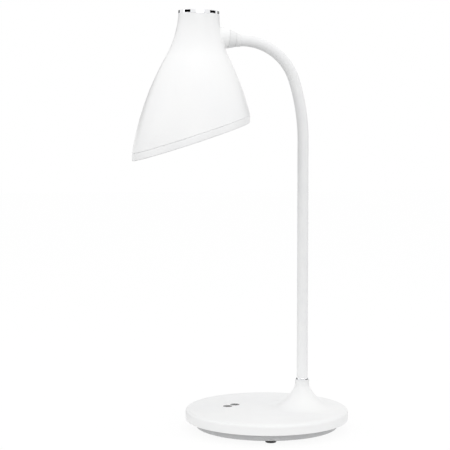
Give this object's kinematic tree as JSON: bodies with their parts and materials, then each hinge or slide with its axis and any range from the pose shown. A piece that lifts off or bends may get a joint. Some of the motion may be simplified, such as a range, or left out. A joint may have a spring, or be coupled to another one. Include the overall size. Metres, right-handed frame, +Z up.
{
  "type": "desk lamp",
  "caption": "Desk lamp with a slanted bell shade on a bendable gooseneck that rises from a flared foot on a round weighted base.",
  "frame": {"origin": "on the table, under the centre of the round base", "axes": "+Z up; the shade hangs over the front of the base, towards -Y; the stem stands at the back, towards +Y"},
  "size_m": [0.16, 0.2122, 0.4086],
  "materials": {
    "cover_plastic": "satin white ABS",
    "shade_plastic": "glossy white ABS",
    "rim_plastic": "satin white ABS, slightly greyer than the shade",
    "tray_plastic": "moulded grey plastic",
    "foot_rubber": "moulded rubber",
    "sleeve_silicone": "smooth white silicone sleeve",
    "hose_steel": "wound steel hose",
    "fitting_steel": "zinc plated, threaded",
    "screw_steel": "zinc plated",
    "weight_iron": "as cast",
    "chrome": "bright plated",
    "circuit_board": "green solder mask",
    "board_parts": "moulded black",
    "pad_foam": "conductive foam",
    "mark_plastic": "gloss black",
    "cable_dark": "PVC insulation",
    "cable_white": "PVC insulation",
    "diffuser_opal": "opal acrylic, satin",
    "carrier_aluminium": "plain sheet",
    "light_board": "white solder mask on metal core",
    "light_chip": "phosphor face",
    "plug_nylon": "moulded nylon"
  },
  "bodies": {
    "base": {"base_cover": "cover_plastic", "base_tray": "tray_plastic", "rubber_feet": "foot_rubber", "tray_screws": "screw_steel", "counterweight": "weight_iron", "counterweight_screws": "screw_steel", "control_board": "circuit_board", "driver_parts": "board_parts", "control_board_screws": "screw_steel", "touch_pads": "pad_foam", "touch_marks": "mark_plastic", "charging_socket": "fitting_steel", "socket_board": "circuit_board", "socket_lead": "cable_dark", "foot_trim_ring": "chrome", "lower_fitting": "fitting_steel", "stem_washer": "fitting_steel", "stem_nut": "fitting_steel", "sleeve_0": "sleeve_silicone", "hose_0": "hose_steel", "lead_0": "cable_white"},
    "arm_1": {"sleeve_1": "sleeve_silicone", "hose_1": "hose_steel", "lead_1": "cable_white"},
    "arm_2": {"sleeve_2": "sleeve_silicone", "hose_2": "hose_steel", "lead_2": "cable_white"},
    "arm_3": {"sleeve_3": "sleeve_silicone", "hose_3": "hose_steel", "lead_3": "cable_white"},
    "arm_4": {"sleeve_4": "sleeve_silicone", "hose_4": "hose_steel", "lead_4": "cable_white"},
    "arm_5": {"sleeve_5": "sleeve_silicone", "hose_5": "hose_steel", "lead_5": "cable_white"},
    "head": {"sleeve_6": "sleeve_silicone", "hose_6": "hose_steel", "lead_6": "cable_white", "neck_ferrule": "cover_plastic", "neck_collar": "cover_plastic", "upper_fitting": "fitting_steel", "head_washer": "fitting_steel", "head_nut": "fitting_steel", "shade_shell": "shade_plastic", "neck_trim_ring": "chrome", "top_cap": "shade_plastic", "rim_bezel": "rim_plastic", "diffuser": "diffuser_opal", "led_carrier": "carrier_aluminium", "led_board": "light_board", "led_chips": "light_chip", "carrier_screws": "screw_steel", "led_board_screws": "screw_steel", "lead_plug": "plug_nylon"}
  },
  "joints": [
    {"name": "bend_1_fore_aft", "type": "hinge", "parent": "base", "child": "arm_1", "pos_m": [0, 0.036, 0.0936], "axis": [1, 0, 0], "range_deg": [-30, 30]},
    {"name": "bend_2_sideways", "type": "hinge", "parent": "arm_1", "child": "arm_2", "pos_m": [0, 0.036, 0.1556], "axis": [0, 1, 0], "range_deg": [-30, 30]},
    {"name": "bend_3_fore_aft", "type": "hinge", "parent": "arm_2", "child": "arm_3", "pos_m": [0, 0.036, 0.2176], "axis": [1, 0, 0], "range_deg": [-30, 30]},
    {"name": "bend_4_sideways", "type": "hinge", "parent": "arm_3", "child": "arm_4", "pos_m": [0, 0.036, 0.2796], "axis": [0, 1, 0], "range_deg": [-30, 30]},
    {"name": "bend_5_fore_aft", "type": "hinge", "parent": "arm_4", "child": "arm_5", "pos_m": [0, 0.02646, 0.34326], "axis": [1, 0, 0], "range_deg": [-30, 30]},
    {"name": "bend_6_sideways", "type": "hinge", "parent": "arm_5", "child": "head", "pos_m": [0, -0.02443, 0.38023], "axis": [0, 0, 1], "range_deg": [-30, 30]}
  ]
}
